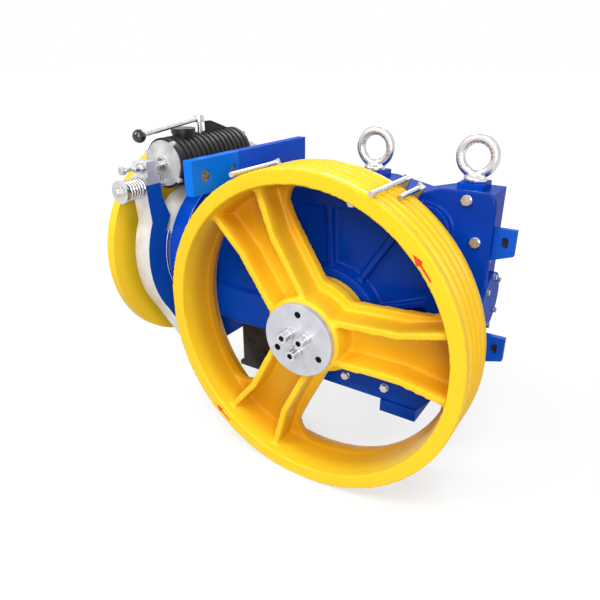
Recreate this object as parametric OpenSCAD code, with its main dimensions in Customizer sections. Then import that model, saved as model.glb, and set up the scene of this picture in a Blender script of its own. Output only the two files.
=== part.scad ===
// Geared traction machine for an elevator.
// The worm shaft lies along X, the slow shaft with the rope sheave lies along Y.
// Z = 0 is the plane of the feet, X = 0 the slow shaft, Y = 0 the plane of the worm.

/* [Traction sheave] */
// Outer diameter of the sheave
sheave_d = 600; // [560:10:620]
// Width of the sheave rim
rim_w = 104; // [96:2:112]
// Radial thickness of the rim at its faces
rim_t = 27; // [25:1:30]
// Number of rope grooves
grooves = 4; // [3:1:4]
// Distance between rope grooves
groove_pitch = 20; // [18:1:21]
// Width of a groove at its mouth
groove_w = 13; // [10:1:14]
// Depth of a groove
groove_depth = 12; // [10:1:13]
// Number of spokes
spokes = 3; // [3:1:4]
// Angle of the first spoke
spoke_angle = 3; // [0:1:10]
// Thickness of the spoke web
web_t = 18; // [14:1:22]
// Depth of the web behind the front face of the rim
web_depth = 66; // [60:1:70]
// Thickness of the spoke ribs
rib_t = 13; // [10:1:16]
// Depth of the rib crest behind the front face at the rim
rib_crest = 18; // [14:1:22]
// Outer diameter of the sheave hub
hub_d = 150; // [146:2:156]

/* [Slow shaft] */
// Height of the slow shaft above the feet
shaft_z = 190; // [186:1:196]
// Diameter of the slow shaft in its bearings
shaft_d = 80; // [76:1:84]
// Diameter of the shaft at the worm wheel and the rear bearing
wheel_seat_d = 60; // [58:1:62]
// Diameter of the shaft seat in the sheave
seat_d = 76; // [72:1:76]
// Diameter of the end plate on the hub
plate_d = 137; // [130:1:140]
// Thickness of the end plate
plate_t = 12; // [10:1:14]

/* [Worm gear] */
// Module of the teeth
gear_m = 2.5; // [2.5:0.1:2.6]
// Teeth of the worm wheel
wheel_teeth = 42; // [40:1:43]
// Pitch diameter of the worm
worm_pd = 35; // [34:0.5:36]
// Width of the toothed ring
wheel_w = 24; // [20:1:26]
// Turns of the worm thread, an even number
worm_turns = 6; // [6:2:8]

/* [Gear case] */
// Right side of the case
case_right = 262; // [258:1:266]
// Left side of the case
case_left = 140; // [136:1:150]
// Height of the case top
case_top = 450; // [446:1:454]
// Depth of the case along the slow shaft
case_depth = 92; // [88:2:96]
// Wall thickness of the case
case_wall = 12; // [10:1:14]
// Thickness of the front cover border
cover_t = 26; // [22:1:28]
// Thickness of the rear cover
rear_t = 14; // [12:1:16]
// Height of the foot pads
foot_h = 25; // [20:1:30]
// Distance from the middle to the foot bolts along X
bolt_x = 140; // [136:1:144]
// Distance from the middle to the foot bolts along Y
bolt_y = 26; // [24:1:28]
// Diameter of the foot bolt holes
bolt_d = 18; // [16:0.5:20]

/* [Eyebolts] */
// Distance between the two eyebolts
eye_pitch = 180; // [176:1:184]
// Place of the left eyebolt along X
eye_x = 41; // [38:1:44]
// Inner diameter of the eye
eye_d = 40; // [38:1:42]
// Thickness of the ring
eye_t = 16; // [14:1:17]
// Diameter of the eyebolt thread
eye_thread = 20; // [18:1:22]

/* [Brake] */
// Diameter of the brake drum
drum_d = 260; // [250:2:264]
// Width of the brake drum
drum_w = 62; // [58:1:64]
// Right face of the drum, measured to the left of the slow shaft
drum_x = 352; // [350:1:354]
// Outer diameter of the flywheel
fly_d = 444; // [420:2:446]
// Thickness of the flywheel rim
fly_t = 20; // [16:1:22]
// Thickness of the brake lining
lining_t = 8; // [6:1:9]
// Running gap between lining and drum
lining_gap = 0.5; // [0.4:0.1:0.6]
// Number of pads that make up one lining
pads = 6; // [6:1:8]
// Width of the brake arms
arm_w = 40; // [36:1:42]
// Height of the arm pivots above the feet
pivot_z = 66; // [64:1:70]
// Distance from the middle to an arm pivot
pivot_y = 66; // [64:1:70]
// Diameter of the pivot pins
pin_d = 24; // [20:1:26]
// Height of the spring rod
rod_z = 412; // [410:1:414]
// Diameter of the spring rod
rod_d = 14; // [12:1:15]
// Outer diameter of the brake springs
spring_d = 40; // [36:1:42]
// Wire of the brake springs
wire_d = 6; // [5:0.5:7]

/* [Magnet] */
// Outer diameter of the magnet
magnet_d = 100; // [96:1:102]
// Height of the magnet axis
magnet_z = 450; // [447:1:451]
// Place of the magnet to the left of the slow shaft
magnet_x = 372; // [370:1:376]
// Length of the magnet with both covers
magnet_len = 226; // [220:1:228]
// Thickness of a magnet cover
mag_cover_t = 14; // [12:1:16]

/* [Fits] */
// Radial clearance of seated parts
seat_gap = 0.02; // [0.02:0.01:0.03]
// Radial clearance of turning parts
run_gap = 0.05; // [0.03:0.01:0.08]
// Gap between parts that move past each other
move_gap = 3; // [2:0.5:4]

/* [Hidden] */
$fn = 64;

// gear pair
wheel_pr = gear_m * wheel_teeth / 2;
worm_pr = worm_pd / 2;
center_dist = wheel_pr + worm_pr;
worm_z = shaft_z + center_dist;
axial_pitch = PI * gear_m;
thread_h = 1.1 * gear_m;
worm_mid_r = worm_pr - 0.1 * gear_m;
worm_len = worm_turns * axial_pitch;
lead_angle = atan(axial_pitch / (2 * PI * worm_pr));
wheel_tip_r = wheel_pr + 0.5 * gear_m;
wheel_root_r = wheel_pr - 1.25 * gear_m;
rim_bore_r = wheel_root_r - 7;

// planes along the slow shaft, front is negative
case_y = case_depth / 2;
cover_y = case_y + cover_t;
boss_y = cover_y + 10;
hub_rear_y = boss_y + move_gap;
rim_rear_y = hub_rear_y + 3;
rim_front_y = rim_rear_y + rim_w;
plate_y = rim_front_y;
plate_back_y = plate_y - plate_t;
hub_front_y = plate_back_y - seat_gap;
web_front_y = rim_front_y - web_depth;
web_rear_y = web_front_y - web_t;
rear_y = case_y + rear_t;
rim_r = sheave_d / 2;
rim_in_r = rim_r - rim_t;
window_r = rim_in_r - 10;

// bearings: bore, outer diameter, width
front_bear = [shaft_d, shaft_d + 60, 26];
rear_bear = [wheel_seat_d, wheel_seat_d + 50, 22];
worm_bear = [40, 90, 23];
end_bear = [40, 80, 18];
seal_d = shaft_d + 20;
key_w = 20;
key_h = 12;
key_y = hub_rear_y + 12;
key_len = 70;
wheel_key_w = 12;
screw_d = 12;
screw_hole_d = screw_d + 0.1;
shoulder_y = wheel_w / 2 + 4;
shaft_end_y = -case_y - 6;

// brake side
flange_r = 155;
flange_x = drum_x - 16;
housing_x = 300;
drum_r = drum_d / 2;
drum_left = drum_x + drum_w;
fly_x = drum_left + 12;
arm_x = drum_x + 10;
lining_r = drum_r + lining_gap;
shoe_r = lining_r + lining_t;
pad_step = 44 / pads;
pad_slot = 0.5;
arm_in_r = shoe_r + 6;
arm_t = 42;
arm_out_r = arm_in_r + arm_t;
bar_x = 225;
bar_t = 20;
bar_h = 64;
bar_len = 376;
bar_z = worm_z + flange_r;

mag_half = magnet_len / 2;
plunger_r = 13;
plunger_tip = mag_half + 8;
// clearance between the adjusting bolt and the plunger, which tilt against each other
tip_gap = 0.15;
fins = 13;
function fin_y(i) = -mag_half + mag_cover_t + 8 + i * (magnet_len - 2 * mag_cover_t - 23) / (fins - 1);
lever_z = magnet_z + magnet_d / 2 + 20;
stud_x = arm_x + arm_w / 2 - 4;
trim_x = arm_x + arm_w - 10;
trim_z = magnet_z - 3;
arm_top = 432;
cap_y = 220;
rod_end = 236;
stud_in_y = mag_half - 12;
spring_seat_y = 173.6;
// room for the bolt's inner nut between the plunger's tip and the arm's lug
lug_room = 20;
lug_t = 27;
lug_in_y = plunger_tip + lug_room;
lug_out_y = lug_in_y + lug_t;
// how far the adjusting bolt and the head of the trim screw stand out of the lug
bolt_out = 22;
trim_out = 29;
trim_head = 9;
bolt_r = 6;
nut_t = 9;
trim_r = 4;
release_r = 6;
lever_r = 4.5;
lever_len = 160;
neck_r = 14;
worm_body_r = 22;
drum_seat_r = 19;
thread_r = 12;
fly_left = fly_x + fly_t;
seat_end_x = 10 - fly_left;
left_bear_x = housing_x;
right_bear_x = case_right - end_bear[2];
wheel_twist = -wheel_w * tan(lead_angle) / wheel_pr * 180 / PI;
rear_bear_y = -case_y - 4;
hub_back_y = rear_bear_y + rear_bear[2] + 0.3;
plate_front_y = case_y + 14;
block_top = shaft_z + 241;
block_low = foot_h + 32;
cover_right = case_right + 13;
cover_top = case_top + 8;
rear_cover_r = 108;
chamber_r = 86;
spigot_r = 76;
right_eye_x = eye_x + eye_pitch;
eye_boss_h = 12;
end_cover_r = end_bear[1] / 2 + 12;
end_face_x = case_right + 11;
lug_z = [381, 196];
notch_x = -98;
breather_x = eye_x - 60;
glass_z = worm_z + 90;
drain_z = 160;
lower_z = worm_z - 146;
bracket_x = 244;
bracket_len = 142;
bracket_y = 56;
plate_screws_at = [[229, 444], [250, 379], [250, 312]];
block_screws_at = [[-126, 150], [-126, 260], [-126, 350], [36, 417], [130, 417], [198, 330], [198, 190],
  [36, 71], [120, 71]];
guards = [[115, rim_front_y + 4, 269], [65, rim_front_y + 4, 271], [60, rim_front_y - 48, 283]];
pin_holes = [[-150, 12], [-71, 9]];

module along_y() rotate([-90, 0, 0]) children();
module along_x() rotate([0, 90, 0]) children();

// solid cylinder along Y from y0 to y1
module rod_y(r, y0, y1, x = 0, z = 0, fn = 64)
  translate([x, min(y0, y1), z]) along_y() cylinder(r = r, h = abs(y1 - y0), $fn = fn);

// solid cylinder along X from x0 to x1
module rod_x(r, x0, x1, y = 0, z = 0, fn = 64)
  translate([min(x0, x1), y, z]) along_x() cylinder(r = r, h = abs(x1 - x0), $fn = fn);

// flat shape drawn in X and Z, made solid from y0 to y1
module slab_y(y0, y1)
  translate([0, max(y0, y1), 0]) rotate([90, 0, 0]) linear_extrude(abs(y1 - y0)) children();

// flat shape drawn in Y and Z, made solid from x0 to x1
module slab_x(x0, x1)
  translate([min(x0, x1), 0, 0]) rotate([90, 0, 90]) linear_extrude(abs(x1 - x0)) children();

// points of an arc about c from angle a to angle b
function arc(c, r, a, b, n = 8) = [for (i = [0 : n]) let (t = a + (b - a) * i / n) c + r * [cos(t), sin(t)]];

// rectangle with rounded corners
module rounded(w, h, r) polygon(concat(
  arc([w / 2 - r, h / 2 - r], r, 0, 90), arc([r - w / 2, h / 2 - r], r, 90, 180),
  arc([r - w / 2, r - h / 2], r, 180, 270), arc([w / 2 - r, r - h / 2], r, 270, 360)));

// hexagon head with a washer face, standing along +Z
module hex_head(d, h) union() {
  cylinder(d = d * 1.9, h = 1.5);
  translate([0, 0, 1.5]) cylinder(d = d * 1.8, h = h, $fn = 6);
}

// socket head with its hexagon hole, standing along +Z
module socket_head(d, h) difference() {
  cylinder(d = d * 1.6, h = h);
  translate([0, 0, h - d * 0.6]) cylinder(d = d * 0.95, h = d, $fn = 6);
}

// ---------------------------------------------------------------- sheave

// one window between two spokes, in the plane of the web
half_gap = 180 / spokes;
spoke_hub_w = 50;
spoke_rim_w = 74;
window_in = 92;

function polar(r, a) = r * [cos(a), sin(a)];

module window2d() {
  a_out = half_gap - asin(spoke_rim_w / window_r);
  a_mid = half_gap - asin(62 / (0.62 * rim_r));
  a_in = half_gap - asin(spoke_hub_w / window_in);
  c_r = 34;
  a_c = a_out - asin(c_r / (window_r - c_r));
  polygon(concat(
    arc([0, 0], window_in, -a_in * 0.7, a_in * 0.7, 10),
    [polar(0.62 * rim_r, a_mid)],
    arc(polar(window_r - c_r, a_c), c_r, a_c + 96, a_c, 8),
    arc([0, 0], window_r, a_c - 2, 2 - a_c, 20),
    arc(polar(window_r - c_r, -a_c), c_r, -a_c, -a_c - 96, 8),
    [polar(0.62 * rim_r, -a_mid)]));
}

// outline of a pair of ribs on the spoke that points along +X
module rib2d(s) {
  r0 = hub_d / 2 - 20;
  kink = 0.6 * rim_r;
  r1 = rim_in_r + 3;
  w0 = spoke_hub_w - 5;
  w1 = 47;
  w2 = 68;
  polygon([[r0, s * w0], [kink, s * w1], [r1, s * w2], [r1, s * (w2 - rib_t)],
    [kink, s * (w1 - rib_t)], [r0, s * (w0 - rib_t)]]);
}

module rim_profile() polygon(concat(
  [[rim_in_r, rim_front_y], [window_r + 2, web_front_y], [window_r + 2, web_rear_y], [rim_in_r, rim_rear_y]],
  [[rim_r, rim_rear_y]],
  [for (i = [0 : grooves - 1]) let (y = rim_rear_y + rim_w / 2 + (i - (grooves - 1) / 2) * groove_pitch)
    each [[rim_r, y - groove_w / 2], [rim_r - groove_depth, y - groove_w / 5],
      [rim_r - groove_depth, y + groove_w / 5], [rim_r, y + groove_w / 2]]],
  [[rim_r, rim_front_y]]));

module sheave_blank() {
  rotate_extrude($fn = 160) rim_profile();
  difference() {
    translate([0, 0, web_rear_y]) cylinder(r = window_r + 4, h = web_t, $fn = 160);
    for (i = [0 : spokes - 1]) rotate((i + 0.5) * 360 / spokes)
      translate([0, 0, web_rear_y - 1]) linear_extrude(web_t + 2) window2d();
  }
  for (i = [0 : spokes - 1]) rotate(i * 360 / spokes) for (s = [-1, 1]) {
    translate([0, 0, web_front_y - 1]) linear_extrude(rim_front_y - rib_crest - web_front_y + 1) rib2d(s);
    translate([0, 0, hub_rear_y + 8]) linear_extrude(web_rear_y - hub_rear_y - 7) rib2d(s);
  }
  translate([0, 0, hub_rear_y]) cylinder(d1 = hub_d + 26, d2 = hub_d + 30, h = web_rear_y - hub_rear_y + 1, $fn = 96);
  translate([0, 0, web_front_y - 1]) cylinder(d = hub_d, h = hub_front_y - web_front_y + 1, $fn = 96);
}

// front faces -Y: the drawing plane's Z becomes -Y
module to_sheave() translate([0, 0, shaft_z]) rotate([90, 0, 0]) children();

module traction_sheave() color("gold") to_sheave() rotate(spoke_angle) difference() {
  sheave_blank();
  translate([0, 0, hub_rear_y - 1]) cylinder(d = seat_d + 2 * seat_gap, h = hub_front_y);
  translate([-key_w / 2 - seat_gap, 0, hub_rear_y - 1])
    cube([key_w + 2 * seat_gap, seat_d / 2 + key_h / 2 + seat_gap, hub_front_y - hub_rear_y + 2]);
}

module hub_plate() color("lightgray") to_sheave() difference() {
  translate([0, 0, plate_back_y]) cylinder(d = plate_d, h = plate_t, $fn = 96);
  for (a = [90, 210, 330]) rotate(a) translate([50, 0, plate_back_y + 1]) cylinder(d = 12, h = plate_t);
  for (a = [30, 150, 270]) rotate(a) translate([20, 0, plate_back_y - 1]) cylinder(d = screw_d + 1, h = plate_t + 2);
}

module hub_screws() color("silver") to_sheave() for (a = [30, 150, 270]) rotate(a) translate([20, 0, 0]) {
  translate([0, 0, plate_back_y - 26]) cylinder(d = screw_d, h = plate_t + 27);
  translate([0, 0, plate_y]) cylinder(d = 22, h = 8);
  translate([0, 0, plate_y + 8]) socket_head(screw_d, 17);
}

module sheave_key() color("dimgray") to_sheave() rotate(spoke_angle)
  translate([-key_w / 2, seat_d / 2 - key_h / 2, key_y]) cube([key_w, key_h, key_len]);

module main_shaft() color("gray") to_sheave() difference() {
  union() {
    translate([0, 0, hub_rear_y - 1]) cylinder(d = seat_d, h = hub_front_y - hub_rear_y + 1);
    translate([0, 0, shoulder_y]) cylinder(d = shaft_d, h = hub_rear_y - seat_gap - shoulder_y);
    translate([0, 0, shaft_end_y]) cylinder(d = wheel_seat_d, h = shoulder_y - shaft_end_y + 1);
  }
  rotate(spoke_angle) translate([-key_w / 2 - seat_gap, seat_d / 2 - key_h / 2 - seat_gap, key_y - seat_gap])
    cube([key_w + 2 * seat_gap, key_h, key_len + 2 * seat_gap]);
  translate([-wheel_key_w / 2 - seat_gap, wheel_seat_d / 2 - 4 - seat_gap, -wheel_w / 2 - seat_gap])
    cube([wheel_key_w + 2 * seat_gap, 9, wheel_w + 2 * seat_gap]);
  for (a = [30, 150, 270]) rotate(a) translate([20, 0, plate_back_y - 28]) cylinder(d = screw_hole_d, h = 30);
}

// ---------------------------------------------------------------- worm gear

module wheel_hub() color("dimgray") to_sheave() difference() {
  union() {
    translate([0, 0, -wheel_w / 2]) cylinder(r = rim_bore_r, h = wheel_w);
    translate([0, 0, hub_back_y]) cylinder(d = wheel_seat_d + 16, h = shoulder_y - hub_back_y - seat_gap);
  }
  translate([0, 0, hub_back_y - 1]) cylinder(d = wheel_seat_d + 2 * seat_gap, h = case_depth);
  translate([-wheel_key_w / 2 - seat_gap, 0, hub_back_y - 1])
    cube([wheel_key_w + 2 * seat_gap, wheel_seat_d / 2 + 3, case_depth]);
}

module wheel_key() color("silver") to_sheave()
  translate([-wheel_key_w / 2, wheel_seat_d / 2 - 4, -wheel_w / 2]) cube([wheel_key_w, 6.8, wheel_w]);

// tooth flanks are straight lines from root to tip
function tooth(a) = [for (p = [[wheel_root_r, -2.6], [wheel_tip_r, -0.75],
    [wheel_tip_r, 0.75], [wheel_root_r, 2.6]])
  polar(p[0], a + p[1] * 180 / PI / p[0])];

module worm_wheel() color("peru") to_sheave() difference() {
  rotate(90 + wheel_twist / 2) translate([0, 0, -wheel_w / 2]) linear_extrude(wheel_w, twist = wheel_twist, slices = 2)
    polygon([for (i = [0 : wheel_teeth - 1]) each tooth(i * 360 / wheel_teeth)]);
  translate([0, 0, -wheel_w]) cylinder(r = rim_bore_r + seat_gap, h = 2 * wheel_w);
}

module worm_shaft() color("silver") translate([0, 0, worm_z]) difference() {
  union() {
    along_x() {
      linear_extrude(worm_len, center = true, twist = -360 * worm_turns, slices = 16 * worm_turns, $fn = 18)
        translate([-thread_h, 0]) circle(r = worm_mid_r);
      for (s = [-1, 1]) translate([0, 0, s * (worm_len / 2 + 9)]) cylinder(r = neck_r, h = 20, center = true);
    }
    rod_x(worm_body_r, worm_len / 2 + 18, right_bear_x - seat_gap);
    rod_x(end_bear[0] / 2, right_bear_x - 1, case_right - 4);
    rod_x(worm_body_r, -worm_len / 2 - 18, worm_bear[2] - left_bear_x + seat_gap);
    rod_x(worm_bear[0] / 2, worm_bear[2] - left_bear_x + 1, seat_gap - drum_x);
    rod_x(drum_seat_r, 1 - drum_x, seat_end_x);
    rod_x(thread_r, seat_end_x + 1, seat_end_x - 36);
  }
  drum_key_box(seat_gap);
}

module drum_key_box(gap) translate([-fly_x - 8 - gap, -5 - gap, drum_seat_r - 4 - gap])
  cube([fly_x - drum_x + gap * 2, 10 + 2 * gap, 7 + 2 * gap]);

module drum_key() color("dimgray") translate([0, 0, worm_z]) drum_key_box(0);

// ball bearing along Z: rings with a ball track, and the balls
function pitch_r(b) = (b[0] + b[1]) / 4;
function ball_r(b) = (b[1] - b[0]) / 6.6;

module track(b) translate([0, 0, b[2] / 2]) rotate_extrude()
  translate([pitch_r(b), 0]) circle(r = ball_r(b) + 0.1, $fn = 32);

module outer_ring(b) difference() {
  cylinder(d = b[1], h = b[2]);
  translate([0, 0, -1]) cylinder(r = pitch_r(b) + 0.55 * ball_r(b), h = b[2] + 2);
  track(b);
}

module inner_ring(b) difference() {
  cylinder(r = pitch_r(b) - 0.55 * ball_r(b), h = b[2]);
  translate([0, 0, -1]) cylinder(d = b[0] + 2 * seat_gap, h = b[2] + 2);
  track(b);
}

module balls(b, n) for (i = [0 : n - 1]) rotate(i * 360 / n)
  translate([pitch_r(b), 0, b[2] / 2]) sphere(r = ball_r(b));

// places of the four bearings
module front_bearing() to_sheave() translate([0, 0, case_y + seat_gap]) children();
module rear_bearing() to_sheave() translate([0, 0, rear_bear_y]) children();
module left_bearing() translate([-left_bear_x, 0, worm_z]) along_x() children();
module right_bearing() translate([right_bear_x, 0, worm_z]) along_x() children();

module main_bearing_rings() color("silver") {
  front_bearing() outer_ring(front_bear);
  rear_bearing() outer_ring(rear_bear);
}

module worm_bearing_rings() color("silver") {
  left_bearing() outer_ring(worm_bear);
  right_bearing() outer_ring(end_bear);
}

module main_bearing_balls() color("lightgray") {
  front_bearing() { inner_ring(front_bear); balls(front_bear, 11); }
  rear_bearing() { inner_ring(rear_bear); balls(rear_bear, 10); }
}

module worm_bearing_balls() color("lightgray") {
  left_bearing() { inner_ring(worm_bear); balls(worm_bear, 8); }
  right_bearing() { inner_ring(end_bear); balls(end_bear, 8); }
}

module shaft_seal() color("black") to_sheave() translate([0, 0, case_y + front_bear[2] + 1]) difference() {
  cylinder(d = seal_d, h = 8);
  translate([0, 0, -1]) cylinder(d = shaft_d + 2 * run_gap, h = 10);
}

// ---------------------------------------------------------------- gear case

module case2d() polygon([
  [-case_left, lower_z], [notch_x, lower_z], [notch_x, foot_h], [case_right - 84, foot_h],
  [case_right, foot_h + 110], [case_right, case_top], [right_eye_x - 28, case_top],
  [right_eye_x - 84, case_top - 14], [eye_x + 24, case_top], [20 - case_left, case_top],
  [-case_left, case_top - 20]]);

module at_eyes() for (x = [eye_x, right_eye_x]) translate([x, 0, case_top]) children();

module gear_case() color("mediumblue") difference() {
  union() {
    slab_y(-case_y, case_y) case2d();
    at_eyes() translate([0, 0, eye_boss_h / 2]) cube([42, 50, eye_boss_h], center = true);
    translate([bolt_x - 37, -case_y - 4, 0]) cube([74, 2 * case_y + 8, foot_h + 1]);
  }
  // oil chamber for the wheel and the worm
  slab_y(-case_y - 1, case_y - case_wall) translate([0, shaft_z]) circle(r = chamber_r, $fn = 96);
  rod_x(worm_body_r + move_gap, -case_left - 1, case_right, z = worm_z);
  rod_x(end_bear[1] / 2 + seat_gap, right_bear_x - seat_gap, case_right + 1, z = worm_z);
  // opening for the bearing boss of the rear cover
  slab_y(case_y - case_wall - 1, case_y + 1) translate([0, shaft_z]) circle(r = spigot_r + run_gap, $fn = 96);
  at_eyes() translate([0, 0, -14]) cylinder(d = eye_thread + 2 * run_gap, h = 40);
  for (s = [-1, 1]) translate([bolt_x, s * bolt_y, -1]) cylinder(d = bolt_d, h = foot_h + 12);
  translate([breather_x, 0, case_top - 40]) cylinder(d = 20 + 2 * run_gap, h = 50);
  rod_x(8 + run_gap, case_right - 60, case_right + 1, y = 20, z = drain_z);
  rod_x(14 + run_gap, case_right - 8, case_right + 1, y = -10, z = glass_z);
  at_plate_screws() screw_hole();
  at_block_screws() screw_hole();
  at_rear_screws() screw_hole();
  at_end_screws() screw_hole(6, 30);
}

// screws: shank below the seat face, head above it, hole through both pieces
module at_plate_screws() for (p = plate_screws_at)
  translate([p[0], -plate_front_y, p[1]]) rotate([90, 0, 0]) children();
module at_block_screws() for (p = block_screws_at)
  translate([p[0], -cover_y, p[1]]) rotate([90, 0, 0]) children();
module at_rear_screws() for (i = [0 : 5]) translate([0, rear_y, shaft_z]) rotate([-90, 60 * i, 0])
  translate([rear_cover_r - 14, 0, 0]) children();
module at_end_screws() for (a = [0, 50, 130, 180, 230, 310]) translate([end_face_x, 0, worm_z]) rotate([a, 0, 0])
  translate([0, 0, end_cover_r - 6]) along_x() children();

module screw_hole(d = 10, depth = 46)
  translate([0, 0, -depth]) cylinder(d = d + 2 * run_gap, h = depth + 1, $fn = 24);

module hex_screw(d = 10, len = 44) {
  translate([0, 0, -len]) cylinder(d = d, h = len + 1, $fn = 24);
  translate([0, 0, seat_gap]) hex_head(0.9 * d, 0.6 * d);
}

// rounded block on the cover that carries the bearing boss
module cover_block(d) translate([0.5 * (case_right - 50 - case_left), 0.5 * (block_top + block_low)])
  rounded(case_right - 50 + case_left - 2 * d, block_top - block_low - 2 * d, 45 - d * 0.4);

module cover2d() {
  r = 22;
  polygon(concat(
    [[-case_left, lower_z + seat_gap], [notch_x, lower_z + seat_gap], [notch_x, foot_h + 24],
     [case_right - 92, foot_h + 24], [case_right - 1, foot_h + 128], [case_right - 1, shaft_z + 100],
     [cover_right, shaft_z + 114]],
    arc([cover_right - r, cover_top - r], r, 0, 90),
    [[right_eye_x - 36, cover_top], [right_eye_x - 90, cover_top - 22], [eye_x, cover_top - 12],
     [-case_left, cover_top - 12]]));
}

module front_cover() color("blue") difference() {
  union() {
    slab_y(-case_y - seat_gap, -plate_front_y) cover2d();
    difference() {
      slab_y(-plate_front_y + 0.5, -cover_y) cover_block(0);
      slab_y(-plate_front_y, -cover_y - 1) difference() {
        cover_block(28);
        translate([0, shaft_z]) circle(r = 94, $fn = 96);
        translate([0, shaft_z]) for (i = [0 : 9]) rotate(21 + 36 * i) translate([80, -6]) square([260, 12]);
      }
    }
    to_sheave() translate([0, 0, plate_front_y - 1]) cylinder(r1 = 107, r2 = 100, h = boss_y - plate_front_y + 1, $fn = 96);
  }
  rod_y(front_bear[1] / 2 + seat_gap, -case_y, -case_y - front_bear[2] - 1, z = shaft_z);
  rod_y(seal_d / 2 + seat_gap, -cover_y, -boss_y - 1, z = shaft_z);
  rod_y(shaft_d / 2 + move_gap, -case_y, -boss_y - 1, z = shaft_z);
  at_plate_screws() screw_hole();
  at_block_screws() screw_hole();
}

module cover_screws() color("silver") {
  at_plate_screws() hex_screw(len = 32);
  at_block_screws() hex_screw();
}

module rear_cover() color("blue") difference() {
  union() {
    slab_y(case_y + seat_gap, rear_y) translate([0, shaft_z]) circle(r = rear_cover_r, $fn = 96);
    rod_y(spigot_r, case_y - 16, case_y + 1, z = shaft_z);
    rod_y(rear_bear[0] / 2 + 12, rear_y - 1, rear_y + 6, z = shaft_z);
    translate([0, rear_y - 1, shaft_z]) for (i = [0 : 5]) rotate([0, 30 + 60 * i, 0])
      translate([38, 0, -5]) cube([rear_cover_r - 50, 6, 10]);
  }
  rod_y(rear_bear[1] / 2 + seat_gap, case_y - 17, seat_gap - rear_bear_y, z = shaft_z);
  rod_y(wheel_seat_d / 2 + move_gap, case_y - 17, case_y + 9, z = shaft_z);
  at_rear_screws() screw_hole();
}

module rear_screws() color("silver") at_rear_screws() hex_screw(len = 32);

module worm_end_cover() color("blue") difference() {
  rod_x(end_cover_r, case_right + seat_gap, end_face_x, z = worm_z);
  rod_x(end_bear[1] / 2 - 8, case_right, end_face_x - 6, z = worm_z);
  at_end_screws() screw_hole(6, 30);
}

module end_cover_screws() color("silver") at_end_screws() hex_screw(6, 26);

module lug(z, x1) slab_y(-case_y, -case_y + 10) difference() {
  polygon([[case_right + seat_gap, z - 36], [x1, z - 20], [x1, z + 22], [case_right + seat_gap, z + 22]]);
  translate([x1 - 21, z - 4]) square([10, 8]);
  for (s = [-1, 1]) translate([x1 - 16, z + 4 * s]) circle(d = 10);
}

module side_lugs() color("blue") {
  lug(lug_z[0], case_right + 46);
  lug(lug_z[1], case_right + 54);
}

module eyebolts() color("silver") at_eyes() translate([0, 0, eye_boss_h + seat_gap]) {
  translate([0, 0, -24]) cylinder(d = eye_thread, h = 25);
  cylinder(d = eye_thread + 18, h = 8);
  translate([0, 0, 7]) cylinder(d1 = eye_thread + 12, d2 = eye_t, h = 10);
  translate([0, 0, 12 + eye_d / 2 + eye_t / 2]) rotate([90, 0, 0]) rotate_extrude()
    translate([eye_d / 2 + eye_t / 2, 0]) circle(d = eye_t, $fn = 32);
}

// stands in the dip of the case top
module breather() color("silver") translate([breather_x, 0, case_top]) {
  translate([0, 0, -34]) cylinder(d = 20, h = 34);
  hex_head(16, 8);
  translate([0, 0, 9]) cylinder(d = 22, h = 8);
}

module sight_glass() color("lightcyan") {
  rod_x(14, case_right - 8, case_right + 2, y = -10, z = glass_z);
  rod_x(18, case_right + seat_gap, case_right + 4, y = -10, z = glass_z, fn = 6);
}

module drain_plug() color("silver") {
  rod_x(8, case_right - 40, case_right + 1, y = 20, z = drain_z);
  rod_x(12, case_right + seat_gap, case_right + 9, y = 20, z = drain_z, fn = 6);
}

// ---------------------------------------------------------------- brake side housing

module brake_housing() color("mediumblue") difference() {
  union() {
    slab_x(-housing_x, -case_left - 0.02) translate([0, 0.5 * (bar_z + lower_z)])
      rounded(2 * 66, bar_z - lower_z, 24);
    slab_x(-housing_x, -case_left - 0.02) translate([0, lower_z + 42]) rounded(2 * 78, 84, 14);
  }
  rod_x(worm_bear[1] / 2 + seat_gap, -housing_x - 1, -left_bear_x + worm_bear[2] + 0.02, z = worm_z);
  rod_x(worm_body_r + move_gap, -housing_x, -case_left, z = worm_z);
}

module housing_flange() color("blue") difference() {
  union() {
    rod_x(flange_r, -flange_x, -housing_x - seat_gap, z = worm_z, fn = 128);
    slab_x(-flange_x, -housing_x - seat_gap) polygon([[-pivot_y - 26, pivot_z - 20], [pivot_y + 26, pivot_z - 20],
      [pivot_y + 30, pivot_z + 70], [-pivot_y - 30, pivot_z + 70]]);
  }
  rod_x(worm_bear[0] / 2 + move_gap, -flange_x - 1, -housing_x + 1, z = worm_z);
  for (s = [-1, 1]) rod_x(pin_d / 2 + seat_gap, -flange_x - 1, -housing_x + 1, y = s * pivot_y, z = pivot_z);
}

module pivot_pins() color("silver") for (s = [-1, 1]) {
  rod_x(pin_d / 2, -arm_x - arm_w - 6, -housing_x - 4, y = s * pivot_y, z = pivot_z);
  rod_x(pin_d / 2 + 5, -arm_x - arm_w - 12, -arm_x - arm_w - 5.5, y = s * pivot_y, z = pivot_z);
}

// channel that carries the case and the housing on the left
module base_bracket() color("dimgray") difference() {
  union() {
    translate([-bracket_x, -bracket_y, 0]) cube([bracket_len, 2 * bracket_y, 10]);
    translate([10 - bracket_x, -bracket_y, lower_z - 10]) cube([bracket_len - 10, 2 * bracket_y, 10 - seat_gap]);
    for (y = [-bracket_y, bracket_y - 12]) translate([10 - bracket_x, y, 9]) cube([bracket_len - 10, 12, lower_z - 18]);
  }
  for (s = [-1, 1]) translate([-bolt_x, s * bolt_y, -1]) cylinder(d = bolt_d, h = 20);
}

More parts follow.
